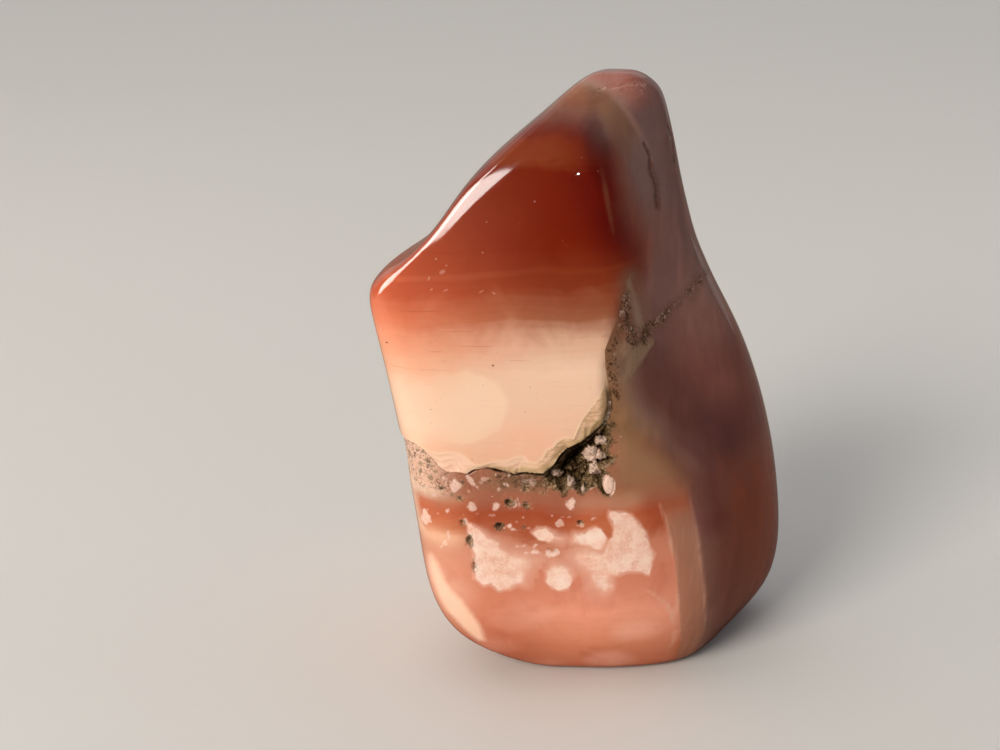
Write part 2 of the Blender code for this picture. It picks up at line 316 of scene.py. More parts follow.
# Thin pale edges of the clear layers low on the right of the front: (across, height, half width).
paleCurves = (
    (
        (9, 27.5, 0.05), (9.8, 25.2, 0.12), (10.5, 22.3, 0.15), (11.3, 19.3, 0.2), (11.7, 16.3, 0.2),
        (12, 13.1, 0.2), (12.5, 9.7, 0.15), (12.9, 5.8, 0.1),
    ),
    (
        (13.1, 27.6, 0.05), (13.7, 25.1, 0.12), (14.3, 22.9, 0.15), (14.8, 20.3, 0.2), (15.2, 17.7, 0.2),
        (15.9, 12.9, 0.15), (16.3, 8.8, 0.1), (16.3, 6.1, 0.05),
    ),
    (
        (6.7, 15.7, 0.05), (8.3, 14.8, 0.1), (10.1, 13.2, 0.2), (11.3, 11, 0.3), (11.9, 8.8, 0.3),
        (11.9, 6.5, 0.2), (11.4, 4.4, 0.05),
    ),
)
firstLayer = (
    (8.6, 29), (9, 27.5), (9.8, 25.2), (10.5, 22.3), (11.3, 19.3), (11.7, 16.3), (12, 13.1), (12.5, 9.7),
    (12.9, 5.8), (12.6, -2),
)
# Veins of lost grains on the right side: (across, out, height).
veins = (
    ((4.3, -11.1, 54.9), (3.7, -12.3, 52.6), (3.2, -13.2, 50.6), (2.7, -13.6, 48.9), (2.9, -14, 45.8)),
    (
        (3.1, -13.2, 50.5), (5.3, -12, 50.1), (7.3, -10.5, 49.3), (8.5, -9, 50.3), (10, -7.3, 51),
        (11.9, -5.2, 51.9), (13.5, -3.2, 52.9), (15.4, -0.4, 53.7), (16.8, 2.6, 54.2),
    ),
)
paleVein = ((4.5, 56.3, 0.15), (5, 54.6, 0.35), (5.6, 52.6, 0.45), (6.1, 50.6, 0.35), (6, 49.6, 0.1))
fissures = (
    ((6.8, -1.6, 72.3), (7.6, -1.4, 70.7), (7.8, -1.9, 68.8), (8.5, -1.9, 66.8), (8.7, -2.7, 64.3)),
    ((10.1, 2.4, 73.8), (10.9, 3, 71.8), (11.2, 2.3, 69.3)),
)
tipFissures = (
    ((0.9, -2.1, 79.4), (1.7, -1.9, 79.6), (2.4, -1.9, 79.5), (3.3, -1.6, 79.6), (4.3, -0.9, 79.8)),
    ((3.8, -1.1, 79.7), (5.4, -0.3, 79.8), (6.7, 0.6, 79.6)),
    ((5.9, -1.5, 78.6), (6.4, -0.9, 78.8), (6.6, -0.3, 78.9)),
)


def nearLine(points, line, width=2):  # how far each point is from a line, and the line's value there
    line = np.array(line, float)
    place, value = line[:, :width], line[:, width:]
    nearest = np.full(len(points), 1e9)
    found = np.zeros((len(points), value.shape[1]))
    for i in range(len(line) - 1):
        along = place[i + 1] - place[i]
        share = np.clip((points - place[i]) @ along / (along @ along), 0, 1)[:, None]
        gap = np.linalg.norm(points - place[i] - share * along, axis=1)
        nearer = gap < nearest
        nearest[nearer] = gap[nearer]
        found[nearer] = (value[i] + share * (value[i + 1] - value[i]))[nearer]
    return nearest, (found[:, 0] if value.shape[1] else None)


def nearLines(points, lines):
    return np.min([nearLine(points, line, 3)[0] for line in lines], axis=0)


def outlineDistance(points, outline):  # negative inside
    closed = tuple(outline) + (outline[0],)
    distance, _ = nearLine(points, [p[:2] for p in closed])
    inside = np.zeros(len(points), bool)
    for (x1, z1), (x2, z2) in zip(*[[p[:2] for p in part] for part in (closed[:-1], closed[1:])]):
        crosses = (z1 > points[:, 1]) != (z2 > points[:, 1])
        if z1 != z2:
            inside ^= crosses & (points[:, 0] < x1 + (points[:, 1] - z1) * (x2 - x1) / (z2 - z1))
    return np.where(inside, -distance, distance)


def ovalDistance(points, ovals):  # how far outside the nearest oval, negative inside, and which it is
    apart = []
    for x, z, wide, high in ovals:
        offset = (points - (x, z)) / (wide, high)
        apart.append((np.linalg.norm(offset, axis=1) - 1) * min(wide, high))
    return np.min(apart, axis=0), np.argmin(apart, axis=0)


def smoothShare(value, low, high):  # 0 at low, 1 at high, with soft ends
    share = np.clip((value - low) / (high - low), 0, 1)
    return share * share * (3 - 2 * share)


def readPoints(obj):
    points = np.empty(len(obj.data.vertices) * 3)
    obj.data.vertices.foreach_get("co", points)
    normals = np.empty(len(obj.data.vertices) * 3)
    obj.data.vertex_normals.foreach_get("vector", normals)
    return points.reshape(-1, 3) / mm, normals.reshape(-1, 3)


def facePlan(points):  # (across, height), which runs on round the left edge and leaves the back out
    x, y, z = points.T
    across = np.where((x < -15) & (y > -12), x - (y + 12), x)  # round the left edge
    across = np.where((x >= -15) & (y > 5), -60, across)  # the back, far from everything
    return np.stack([across, z], axis=1)


plateOutline = rimLine + ((60, 57, 0), (60, 95, 0), (-200, 95, 0), (-200, 36.4, 0))
polishOutline = chipLine + ((60, 57, 0), (60, 95, 0), (-200, 95, 0), (-200, 36.8, 0))


def cloudDistance(plan):
    return np.min([outlineDistance(plan, patch[0]) for patch in cloudPatches], axis=0)


def refineWhere(chosen):  # one more cut in the faces that the test chooses by their middle
    bpy.ops.object.mode_set(mode="EDIT")
    bpy.ops.mesh.select_mode(type="FACE")
    bpy.ops.mesh.select_all(action="DESELECT")
    mesh = bmesh.from_edit_mesh(stone.data)
    middles = np.array([face.calc_center_median() for face in mesh.faces]) / mm
    for face, pick in zip(mesh.faces, chosen(middles)):
        if pick:
            face.select_set(True)
    bmesh.update_edit_mesh(stone.data)
    bpy.ops.mesh.subdivide(number_cuts=1)
    bpy.ops.object.mode_set(mode="OBJECT")


def frontHalf(points):
    return points[:, 1] < 0.5


def detailedFront(points):
    plan = facePlan(points)
    front = (plan[:, 0] > -32) & (plan[:, 0] < 5.5) & (plan[:, 1] > 20) & (plan[:, 1] < 39)
    crust = outlineDistance(plan, crustOutline) < 1
    onLines = nearLines(points, veins + fissures + tipFissures) < 1.2
    return front | crust | onLines | (cloudDistance(plan) < 0.5)


def rimMarksAndHollow(points):
    plan = facePlan(points)
    distance, depth = nearLine(plan, rimLine)
    chips = nearLine(plan, chipLine)[0]
    rim = ((distance < 1.1) | (chips < 0.5)) & (depth > 0.4)
    marked = (plan[:, 0] > -25.5) & (plan[:, 0] < 3) & (plan[:, 1] > 24.2) & (plan[:, 1] < 35.5)
    atTip = nearLines(points, tipFissures) < 0.6
    edges = (np.abs(cloudDistance(plan)) < 0.4) | (outlineDistance(plan, hollowOutline) < 0.4)
    return rim | marked | atTip | edges


def deepHollow(points):
    plan = facePlan(points)
    distance, depth = nearLine(plan, rimLine)
    return (outlineDistance(plan, hollowOutline) < 0.2) | ((distance < 0.4) & (depth > 1.2))


pickObject(stone)
for chosen in (frontHalf, detailedFront, rimMarksAndHollow, deepHollow):
    refineWhere(chosen)
pickObject(stone)
bpy.ops.object.modifier_add(type="SHRINKWRAP")  # the new points are laid on the smooth skin
stone.modifiers[-1].target = guide
bpy.ops.object.modifier_apply(modifier=stone.modifiers[-1].name)
pickObject(guide)
bpy.ops.object.delete()
pickObject(stone)
bpy.ops.object.mode_set(mode="EDIT")
bpy.ops.mesh.select_all(action="DESELECT")
bpy.ops.mesh.select_face_by_sides(number=4, type="GREATER")
bpy.ops.mesh.quads_convert_to_tris()
bpy.ops.object.mode_set(mode="OBJECT")
print("net refined:", len(stone.data.vertices), "points")


relief = {  # in mm
    "fineSize": 0.45,
    "middlingSize": 1.3,
    "gapWidth": 0.22,  # the dark gap under the rim
    "undercut": 0.35,
    "stepDepth": 0.42,  # how far the worn zone lies below the plate
    "stepFade": 8,
    "wornRoughness": 0.07,
    "chipLip": 0.06,  # the sharp upper edge of the chips
    "chipRipple": 0.05,
    "chipRoughness": 0.07,
    "hollowDepth": 3.1,
    "darkFloorDepth": 0.8,
    "crystalSize": 0.8,
    "crystalDepth": 0.6,
    "crustDepth": 0.04,
    "veinDepth": 0.12,
    "veinGrain": 0.75,
    "fissureDepth": 0.12,
    "tipFissureDepth": 0.08,
    "waviness": 0.05,
    "waveLength": 14,
}


def bumps(points, size, seed):  # even noise of about -1 to 1, with lumps of this size in mm
    shift = Vector((seed * 7.3, seed * 3.1, seed * 5.7))
    return np.array([noise.noise(Vector(p) / size + shift) for p in points])


def crystals(points, size, seed):  # flat tilted grains: each point's depth, and its grain's share
    depths, shares = np.zeros(len(points)), np.zeros(len(points))
    for i, point in enumerate(points):
        place = Vector(point) / size + Vector((seed, seed, seed))
        middle = noise.voronoi(place)[1][0]
        tilt = noise.cell_vector(middle * 9.7)
        depths[i] = (tilt - Vector((0.5, 0.5, 0.5))).dot(place - middle) * 2 + tilt.x - 0.5
        shares[i] = tilt.y
    return depths, shares


def lumpShape(plan, index, x, z, wide, high, sides):  # how far outside a lump each point is, and its slope
    offset = (plan - (x, z)) / (wide, high)
    if not sides:  # a smooth round one
        away = np.linalg.norm(offset, axis=1)
        return away - 1, 0.2 * away ** 4
    around = [2 * math.pi * (k + 0.3 * math.sin(7 * index + 3 * k)) / sides + index for k in range(sides)]
    facets = np.array([math.cos(a) * offset[:, 0] + math.sin(a) * offset[:, 1] for a in around])
    slopes = np.array([0.35 + 0.3 * ((3 * index + 5 * k) % 4) for k in range(sides)])
    return facets.max(axis=0) - 1, np.clip((facets * slopes[:, None]).max(axis=0) - 0.15, 0, None)


def marks(points, plan):  # signed distances that the relief and the finish share
    rimDistance, gapDepth = nearLine(plan, rimLine)
    chipDistance, chipDepth = nearLine(plan, chipLine)
    found = {
        "plate": outlineDistance(plan, plateOutline),
        "polish": outlineDistance(plan, polishOutline),
        "hollow": outlineDistance(plan, hollowOutline),
        "darkFloor": outlineDistance(plan, darkFloor),
        "crust": outlineDistance(plan, crustOutline),
        "pits": ovalDistance(plan, [pit[:4] for pit in pits])[0],
        "veins": nearLines(points, veins),
        "fissures": nearLines(points, fissures),
        "tipFissures": nearLines(points, tipFissures),
        "creamAndReflection": np.minimum(outlineDistance(plan, leftCreamAndReflection), outlineDistance(plan, leftEdgeCreamAndReflection)),
    }
    found["pale"], nearest = ovalDistance(plan, [mark[:4] for mark in paleMarks])
    found["paleness"] = np.array([mark[4] for mark in paleMarks])[nearest]
    for streak in paleStreaks:
        distance, width = nearLine(plan, streak)
        found["paleness"] = np.where(distance - width < found["pale"], 0.75, found["paleness"])
        found["pale"] = np.minimum(found["pale"], distance - width)
    found["clouds"], found["cloudSoftness"] = np.full(len(points), 99.0), np.zeros(len(points))
    for outline, towards, softness in cloudPatches:
        distance = outlineDistance(plan, outline)
        middle, reach = np.mean(outline, axis=0), np.ptp(outline, axis=0).max() / 2
        share = np.clip((plan - middle) @ (np.array(towards) / np.linalg.norm(towards)) / reach, 0, 1)
        nearer = distance < found["clouds"]
        found["clouds"][nearer] = distance[nearer]
        found["cloudSoftness"][nearer] = softness * share[nearer]
    found["bright"] = np.zeros(len(points))
    for x, z, size, amount in brightSpots:
        spot = amount * np.exp(-((plan - (x, z)) ** 2).sum(axis=1) / size ** 2)
        found["bright"] = np.maximum(found["bright"], spot)
    distance, width = nearLine(plan, paleVein)
    found["paleVein"] = distance - width
    curves = [nearLine(plan, curve) for curve in paleCurves]
    found["curves"] = np.min([distance - width for distance, width in curves], axis=0)
    upright = np.stack([points[:, 0], points[:, 2]], axis=1)
    found["side"] = outlineDistance(upright, sideLine + ((-90, -2), (-90, 84)))
    found["layer"] = outlineDistance(upright, firstLayer + ((-90, -2), (-90, 29)))
    found["cap"] = outlineDistance(upright, capLine + ((90, 62), (90, 99), (-8, 99)))
    return found, rimDistance, gapDepth, chipDistance, chipDepth


def carve():
    points, normals = readPoints(stone)
    plan = facePlan(points)
    found, rimDistance, gapDepth, chipDistance, chipDepth = marks(points, plan)
    fine = bumps(points, relief["fineSize"], 1)
    middling = bumps(points, relief["middlingSize"], 2)
    below = found["plate"]  # how far under the rim, negative on the plate
    worn = (below > 0) & (plan[:, 0] < 6) & (plan[:, 1] < 40)
    depth = np.zeros(len(points))

    step = relief["stepDepth"] * (1 - smoothShare(below, 0.8, relief["stepFade"]))
    step *= smoothShare(plan[:, 0], -36, -27) * (1 - smoothShare(plan[:, 0], 1.5, 5))
    depth = np.where(worn, step, depth)
    wornZone = (1 - smoothShare(below, 2.5, 6.5)) * worn * smoothShare(plan[:, 0], -36, -28)
    depth += wornZone * relief["wornRoughness"] * (fine * 0.7 + middling)

    width = relief["gapWidth"] * (0.55 + 0.45 * gapDepth) * (1 + 0.5 * middling)
    gap = smoothShare(below, 0, 0.14) * (1 - smoothShare(below, width * 0.6, width * 1.5))
    depth = np.where(below > 0, np.maximum(depth, gapDepth * gap * (1 + 0.25 * fine)), depth)

    onChips = (found["polish"] > 0) & (below <= 0)
    share = np.clip(chipDistance / (chipDistance + rimDistance + 1e-6), 0, 1)
    chip = chipDepth * share ** 1.3 + relief["chipLip"] * smoothShare(chipDistance, 0, 0.4)
    chip += relief["chipRipple"] * np.sin(chipDistance * 6 + middling * 3) * np.minimum(share * 3, 1)
    depth = np.where(onChips, chip + relief["chipRoughness"] * middling * share, depth)

    inside = -found["hollow"]
    close = inside > -0.3
    grains, small, kinds = np.zeros(len(points)), np.zeros(len(points)), np.zeros(len(points))
    grains[close], kinds[close] = crystals(points[close], relief["crystalSize"], 3)
    small[close], _ = crystals(points[close], relief["crystalSize"] * 0.45, 5)
    bowl = relief["hollowDepth"] * smoothShare(inside, -0.1, 1.5)
    bowl += relief["darkFloorDepth"] * smoothShare(-found.pop("darkFloor"), -0.3, 0.4)
    rugged = grains + 0.5 * small + 0.35 * fine + 0.3 * middling
    bowl += relief["crystalDepth"] * rugged * smoothShare(inside, 0.05, 0.6)
    lumps = np.full(len(points), 9.0)
    for i, (x, z, wide, high, top, sides) in enumerate(hollowLumps):
        away, slope = lumpShape(plan, i, x, z, wide, high, sides)
        if sides:
            away += 0.25 * middling + 0.2 * fine
            slope += 0.15 * small + 0.2 * fine + 0.25 * middling
        top = top + slope
        raised = (away < 0) & (top < bowl)
        bowl = np.where(raised, np.maximum(top, 0.05), bowl)
        lumps = np.where(raised, np.minimum(lumps, away * min(wide, high)), lumps)
    found["lumps"], found["grains"] = lumps, kinds
    depth = np.where((inside > -0.1) & (below > -0.05), np.maximum(depth, bowl), depth)

    for x, z, wide, high, deep in pits:
        offset = (plan - (x, z)) / (wide, high)
        away = np.linalg.norm(offset + 0.6 * np.stack([fine, middling], axis=1), axis=1)
        depth = np.maximum(depth, deep * (1 - smoothShare(away, 0.35, 1.15)) * (1 + 0.9 * fine))

    crust = smoothShare(-found["crust"], -0.3, 0.8)
    depth += crust * relief["crustDepth"] * (0.5 + 0.8 * middling + 0.8 * fine)
    grain = np.clip(bumps(points, relief["veinGrain"], 3) * 2.4 - 0.3, 0, 1)
    depth += relief["veinDepth"] * grain * (1 - smoothShare(found["veins"], 0.15, 0.6))
    depth += relief["fissureDepth"] * (1 - smoothShare(found["fissures"], 0.05, 0.3 + 0.2 * fine))
    tipCracks = 1 - smoothShare(found["tipFissures"], 0.05, 0.3)
    depth += relief["tipFissureDepth"] * tipCracks * (1 + fine)
    depth += relief["waviness"] * bumps(points, relief["waveLength"], 4)

    moved = points - normals * depth[:, None]
    lip = gap * (below > 0) * smoothShare(gapDepth, 0.6, 1.4) * relief["undercut"]
    moved[:, 2] += lip * (1 - smoothShare(below, 0.2, width))
    moved[:, 2] = np.maximum(moved[:, 2], 0)
    stone.data.vertices.foreach_set("co", (moved * mm).ravel())
    found["sunken"] = depth
    found["chips"] = smoothShare(chipDepth, 0.05, 0.3) * (chipDistance < 3)
    found["front"] = smoothShare(plan[:, 0], -38, -30)
    return found


found = carve()
furthest = 12  # mm, where the marks end
for name, values in found.items():  # a value for each point, which the material reads by this name
    attribute = stone.data.attributes.new(name, "FLOAT", "POINT")
    values = np.clip(values, -furthest, furthest)
    attribute.data.foreach_set("value", np.ascontiguousarray(values, np.float32))
stone.data.update()
pickObject(stone)
bpy.ops.object.shade_smooth()
print("relief carved: deepest", round(float(found["sunken"].max()), 2), "mm")


finish = {
    # Colour by height in mm: at the left edge of the plate, at the ridge, and below the rim.
    "plateLeft": (
        (34, (0.84, 0.48, 0.32)), (38, (0.87, 0.6, 0.43)), (42, (0.88, 0.58, 0.41)),
        (45.5, (0.85, 0.43, 0.27)), (49, (0.82, 0.33, 0.19)), (52.5, (0.71, 0.2, 0.1)),
        (56, (0.56, 0.11, 0.048)), (60, (0.46, 0.088, 0.038)), (65, (0.36, 0.075, 0.033)),
        (72, (0.2, 0.025, 0.008)), (79, (0.2, 0.045, 0.025)),
    ),
    "plateRidge": (
        (34, (0.8, 0.46, 0.3)), (40, (0.83, 0.52, 0.36)), (45, (0.84, 0.58, 0.42)),
        (48.5, (0.72, 0.43, 0.3)), (52, (0.34, 0.115, 0.055)), (56, (0.235, 0.036, 0.01)),
        (61, (0.18, 0.012, 0.001)), (66, (0.18, 0.012, 0.002)), (70, (0.18, 0.013, 0.002)),
        (71.5, (0.24, 0.045, 0.012)), (73.4, (0.23, 0.04, 0.013)), (74.4, (0.17, 0.026, 0.014)),
        (76, (0.18, 0.05, 0.034)), (79, (0.2, 0.06, 0.04)),
    ),
    "lower": (
        (0, (0.4, 0.1, 0.045)), (6, (0.48, 0.135, 0.065)), (12, (0.66, 0.23, 0.135)),
        (18, (0.65, 0.225, 0.135)), (22.5, (0.56, 0.2, 0.115)), (24.5, (0.42, 0.1, 0.042)),
        (26.5, (0.37, 0.07, 0.026)), (28.5, (0.36, 0.12, 0.065)), (33, (0.35, 0.14, 0.08)),
        (40, (0.36, 0.13, 0.07)),
    ),
    # Side colour by the distance in mm from where the front ends: low down, halfway, and high up with a
    # painted sheen towards its far edge.
    "sideLow": (
        (0, (0.25, 0.112, 0.08)), (1.2, (0.2, 0.08, 0.056)), (3, (0.165, 0.049, 0.03)),
        (8, (0.19, 0.036, 0.012)), (14, (0.22, 0.033, 0.008)),
    ),
    "sideMiddle": (
        (0, (0.28, 0.135, 0.06)), (2.6, (0.23, 0.12, 0.078)), (3.9, (0.17, 0.077, 0.056)),
        (5.2, (0.135, 0.05, 0.037)), (8, (0.13, 0.047, 0.037)), (12, (0.2, 0.068, 0.05)),
        (16, (0.42, 0.14, 0.085)), (20, (0.52, 0.08, 0.02)), (30, (0.42, 0.045, 0.01)),
    ),
    "sideHighAndEdgeSheen": (
        (0, (0.13, 0.018, 0.008)), (1.5, (0.18, 0.048, 0.028)), (3.5, (0.19, 0.088, 0.07)),
        # the light stop at 14 mm is a painted reflection along the far edge
        (6.5, (0.19, 0.09, 0.075)), (10, (0.22, 0.105, 0.082)), (14, (0.34, 0.18, 0.14)),
        (20, (0.22, 0.06, 0.038)), (30, (0.24, 0.045, 0.02)),
    ),
    "layers": ((0, (0.4, 0.165, 0.1)), (1.5, (0.37, 0.165, 0.1)), (4, (0.35, 0.165, 0.105))),
    "capBands": (  # by the distance in mm from the line under the cap, negative in the cap
        (-5, (0.3, 0.085, 0.058)), (-2.5, (0.35, 0.11, 0.08)), (-0.7, (0.33, 0.125, 0.095)),
        (0, (0.32, 0.15, 0.115)), (0.3, (0.29, 0.145, 0.105)), (0.9, (0.2, 0.09, 0.058)),
        (2.2, (0.19, 0.08, 0.046)), (4, (0.16, 0.075, 0.055)), (6, (0.12, 0.05, 0.04)),
        (9, (0.1, 0.02, 0.014)),
    ),
    # Colours of the plate and below it.
    "cream": (0.93, 0.68, 0.48),
    "blush": (0.86, 0.46, 0.32),
    "smear": (0.5, 0.16, 0.11),
    "olive": (0.32, 0.17, 0.085),
    "besidePlate": (0.2, 0.105, 0.05),
    "underLeft": (0.8, 0.51, 0.37),
    "lobe": (0.78, 0.36, 0.25),
    # the cream of the left edge, also a painted reflection there
    "creamAndReflection": (0.95, 0.66, 0.48),
    "stain": (0.26, 0.13, 0.07),
    "cloud": (0.9, 0.63, 0.5),
    "cloudDeep": (0.83, 0.49, 0.37),
    "cloudPale": (0.95, 0.76, 0.65),
    "pale": (0.88, 0.64, 0.53),
    "paleDull": (0.76, 0.47, 0.37),
    "layerEdge": (0.74, 0.4, 0.28),
    # Colours of the side, the tip and the veins.
    # the stone's maroon, laid as painted shade along the ridge near the tip
    "ridgeShadeMaroon": (0.085, 0.022, 0.018),
    "flame": (0.2, 0.065, 0.03),
    "tipCrackle": (0.62, 0.33, 0.26),
    "crust": (0.26, 0.165, 0.095),
    "crustBrown": (0.2, 0.12, 0.075),
    "veinHalo": (0.2, 0.105, 0.062),
    "veinCore": (0.31, 0.2, 0.13),
    "veinShade": (0.14, 0.065, 0.042),
    "grainPale": (0.42, 0.3, 0.24),
    "grainBrown": (0.13, 0.06, 0.028),
    "grainDark": (0.045, 0.02, 0.01),
    "fissure": (0.1, 0.037, 0.024),
    # Colours of the rim, the hollow, the pits and the specks.
    "chip": (0.82, 0.52, 0.33),
    "chipLeft": (0.87, 0.55, 0.4),
    "chipDark": (0.6, 0.36, 0.19),
    "chipRight": (0.3, 0.18, 0.09),
    "chipSpecks": (0.3, 0.17, 0.08),
    "underRim": (0.56, 0.37, 0.18),
    "seam": (0.05, 0.024, 0.011),
    # dark dirt in the recesses, also used as painted shade and shadow there
    "dirtAndShade": (0.03, 0.013, 0.005),
    "moss": (0.17, 0.1, 0.043),
    "mossDark": (0.035, 0.02, 0.008),
    "mossPale": (0.42, 0.28, 0.16),
    "quartz": (0.68, 0.49, 0.39),
    "quartzDull": (0.36, 0.21, 0.15),
    "boulder": (0.83, 0.57, 0.45),
    "boulderDull": (0.72, 0.46, 0.36),
    "pitDark": (0.08, 0.045, 0.022),
    "pitPale": (0.3, 0.19, 0.1),
    "pepper": (0.075, 0.037, 0.017),
    "finePepper": (0.12, 0.065, 0.03),
    "paleSpecks": (0.7, 0.36, 0.27),
    "darkSpecks": (0.12, 0.03, 0.015),
    "dust": (0.6, 0.26, 0.16),
    # Tints that multiply the colour under them.
    "streakTint": (0.72, 0.6, 0.5),
    "brightLineTint": (1.35, 1.9, 2.2),
    "mottleTint": (0.8, 0.62, 0.58),
    "footTint": (1.3, 1.6, 1.8),
    "bandEndTint": (1.35, 1.75, 1.9),
    "lowLeftTint": (1.1, 1.4, 1.5),
    "cloudGrainTint": (0.85, 0.68, 0.6),
    "threadPaleTint": (1.2, 1.3, 1.35),
    "threadDarkTint": (0.82, 0.76, 0.78),
    "sideEdgeTint": (0.8, 0.66, 0.76),
    "shadeTint": (0.8, 0.7, 0.74),
    "hazeTint": (1.35, 1.5, 1.6),
    "highUpTint": (0.97, 1.13, 1.2),
    "veilPaleTint": (1.5, 1.4, 1.35),
    "veilDarkTint": (0.75, 0.7, 0.7),
    "deepRedTint": (0.6, 0.2, 0.1),
    "capLeftTint": (1.35, 1.2, 1.15),
    # darkens the ridge under the tip as painted shade
    "ridgeShadeTint": (0.6, 0.58, 0.7),
    "capMottleTint": (1.25, 1.5, 1.55),
    "hairlineTint": (0.6, 0.35, 0.3),
    "polishTint": (1, 1, 1),  # of the reflections
    "dullTint": (0.25, 0.22, 0.2),
    "polishRoughness": (0.035, 0.08),
    "dullRoughness": 0.5,
    "wander": (5, 5, 3.4),  # how far the bands waver, in mm
    "translucency": 0.3,
    "glowReach": (1, 0.3, 0.16),  # red, green and blue
    "glowDepth": 3.5,  # mm
    "ior": 1.5,
    "specularLevel": 0.4,
    "grainStrength": 0.4,
    "grainHeight": 0.25,  # mm
}


def feed(socket, value):  # a link, a number, a colour, or a colour's name in the finish
    if isinstance(value, str):
        value = finish[value]
    if isinstance(value, bpy.types.NodeSocket):
        socket.id_data.links.new(value, socket)
    elif socket.type == "RGBA" and len(value) == 3:
        socket.default_value = (*value, 1)
    else:
        socket.default_value = value


def feedAll(node, inputs):
    for key, value in inputs.items():
        feed(node.inputs[key], value)


def addNode(tree, kind, inputs, **settings):
    node = tree.nodes.new("ShaderNode" + kind)
    for name, value in settings.items():
        setattr(node, name, value)
    feedAll(node, inputs)
    return node


material = bpy.data.materials.new("polished banded carnelian")
material.use_nodes = True
tree = material.node_tree
shader = tree.nodes["Principled BSDF"]


def calc(operation, *values):
    return addNode(tree, "Math", dict(enumerate(values)), operation=operation).outputs[0]


def vectorCalc(operation, *values):
    node = addNode(tree, "VectorMath", dict(enumerate(values)), operation=operation)
    return node.outputs["Value" if operation == "LENGTH" else "Vector"]


def product(first, *others):
    for other in others:
        first = calc("MULTIPLY", first, other)
    return first


def largest(first, *others):
    for other in others:
        first = calc("MAXIMUM", first, other)
    return first


def shake(value, noise, amount):  # the value, moved up and down by noise that averages a half
    return calc("ADD", value, calc("MULTIPLY_ADD", noise, amount, -amount / 2))


def shareOf(value, low, high, start=0.0, end=1.0):  # from start at low to end at high, with soft ends
    inputs = {"Value": value, "From Min": low, "From Max": high, "To Min": start, "To Max": end}
    return addNode(tree, "MapRange", inputs, interpolation_type="SMOOTHSTEP").outputs["Result"]


def blend(share, a, b, mode="MIX"):
    return addNode(tree, "Mix", {0: share, 6: a, 7: b}, data_type="RGBA", blend_type=mode).outputs[2]


class Coat:  # a colour that more colours are laid over
    def __init__(self, colour):
        self.colour = colour

    def lay(self, share, colour):
        self.colour = blend(share, self.colour, colour)

    def tint(self, share, by):  # multiplied by this where the share is 1
        self.colour = blend(share, self.colour, by, "MULTIPLY")


def stretch(scale, vector=None):
    return addNode(tree, "Mapping", {"Scale": scale, "Vector": vector or place}).outputs["Vector"]


place = stretch((1 / mm, 1 / mm, 1 / mm), addNode(tree, "TexCoord", {}).outputs["Object"])


def oval(x, z, wide, high, turn=0):  # 0 at the middle of an upright oval on the front, 1 at its edge
    inputs = {"Location": (x, 0, z), "Rotation": (0, -math.radians(turn), 0), "Scale": (wide, 1e6, high)}
    node = addNode(tree, "Mapping", {"Vector": place} | inputs, vector_type="TEXTURE")
    return vectorCalc("LENGTH", node.outputs["Vector"])


def ovals(shapes):
    nearest = oval(*shapes[0])
    for shape in shapes[1:]:
        nearest = calc("MINIMUM", nearest, oval(*shape))
    return nearest


def cloud(size, detail=3.0, roughness=0.5, distortion=0.0, vector=None, output="Fac"):
    inputs = {"Scale": 1 / size, "Detail": detail, "Roughness": roughness, "Distortion": distortion}
    return addNode(tree, "TexNoise", {"Vector": vector or place} | inputs).outputs[output]


def threads(scale, detail=4, roughness=0.65, vector=None):  # noise drawn out along one way
    return cloud(1, detail, roughness, vector=stretch(scale, vector))


def cells(size, vector=None):
    return addNode(tree, "TexVoronoi", {"Scale": 1 / size, "Vector": vector or place}).outputs["Distance"]


def mark(name):
    return addNode(tree, "Attribute", {}, attribute_name=name).outputs["Fac"]


def bands(value, name):  # the finish's colours at their places on a scale in mm
    stops = finish[name]
    low, high = stops[0][0], stops[-1][0]
    share = addNode(tree, "MapRange", {"Value": value, "From Min": low, "From Max": high})
    node = addNode(tree, "ValToRGB", {"Fac": share.outputs["Result"]})
    elements = node.color_ramp.elements
    while len(elements) < len(stops):
        elements.new(0.5)
    for element, (stop, colour) in zip(elements, stops):
        element.position = (stop - low) / (high - low)
        element.color = (*colour, 1)
    return node.outputs["Color"]


def parts(vector):
    return addNode(tree, "SeparateXYZ", {0: vector}).outputs


# The bands waver a little, and the finest layers are almost level.
wandering = vectorCalc("MULTIPLY_ADD", cloud(16, 2, 0.5, output="Color"), finish["wander"], place)
layered = vectorCalc("SUBTRACT", wandering, tuple(amount / 2 for amount in finish["wander"]))
across, _, height = parts(layered)
trueAcross, trueOut, trueHeight = parts(place)
layers = threads((0.03, 0.03, 0.75), 3, 0.6, layered)
mottle = cloud(4.5, 5, 0.55, 0.6)
fineHeight = shake(shake(height, layers, 2.4), mottle, 3.6)
speckle = cloud(0.32, 3, 0.75)
coarse = calc("MULTIPLY_ADD", speckle, 0.6, product(cloud(0.9, 3, 0.6), 0.4))
grit = cloud(0.6, 4, 0.7, 0.5)
ragged = shake(0.0, cloud(0.7, 3, 0.6), 0.5)
plateEdge = mark("plate")
behind = calc("SUBTRACT", 1.0, mark("front"))
wavering = calc("ADD", product(behind, shake(0.0, mottle, 5)), plateEdge)
isBelow = shareOf(calc("DIVIDE", wavering, calc("MULTIPLY_ADD", behind, 2.0, 0.03)), -1, 1)
onFront = calc("LESS_THAN", trueOut, 0.0)


def upwards(low, high, *ends):
    return shareOf(trueHeight, low, high, *ends)


def sideways(low, high, *ends):
    return shareOf(trueAcross, low, high, *ends)


def rough(value, amount):  # the value, with a ragged edge
    return calc("MULTIPLY_ADD", ragged, amount, value)


worn = product(isBelow, shareOf(plateEdge, 8, 4), sideways(6, 2), mark("front"))


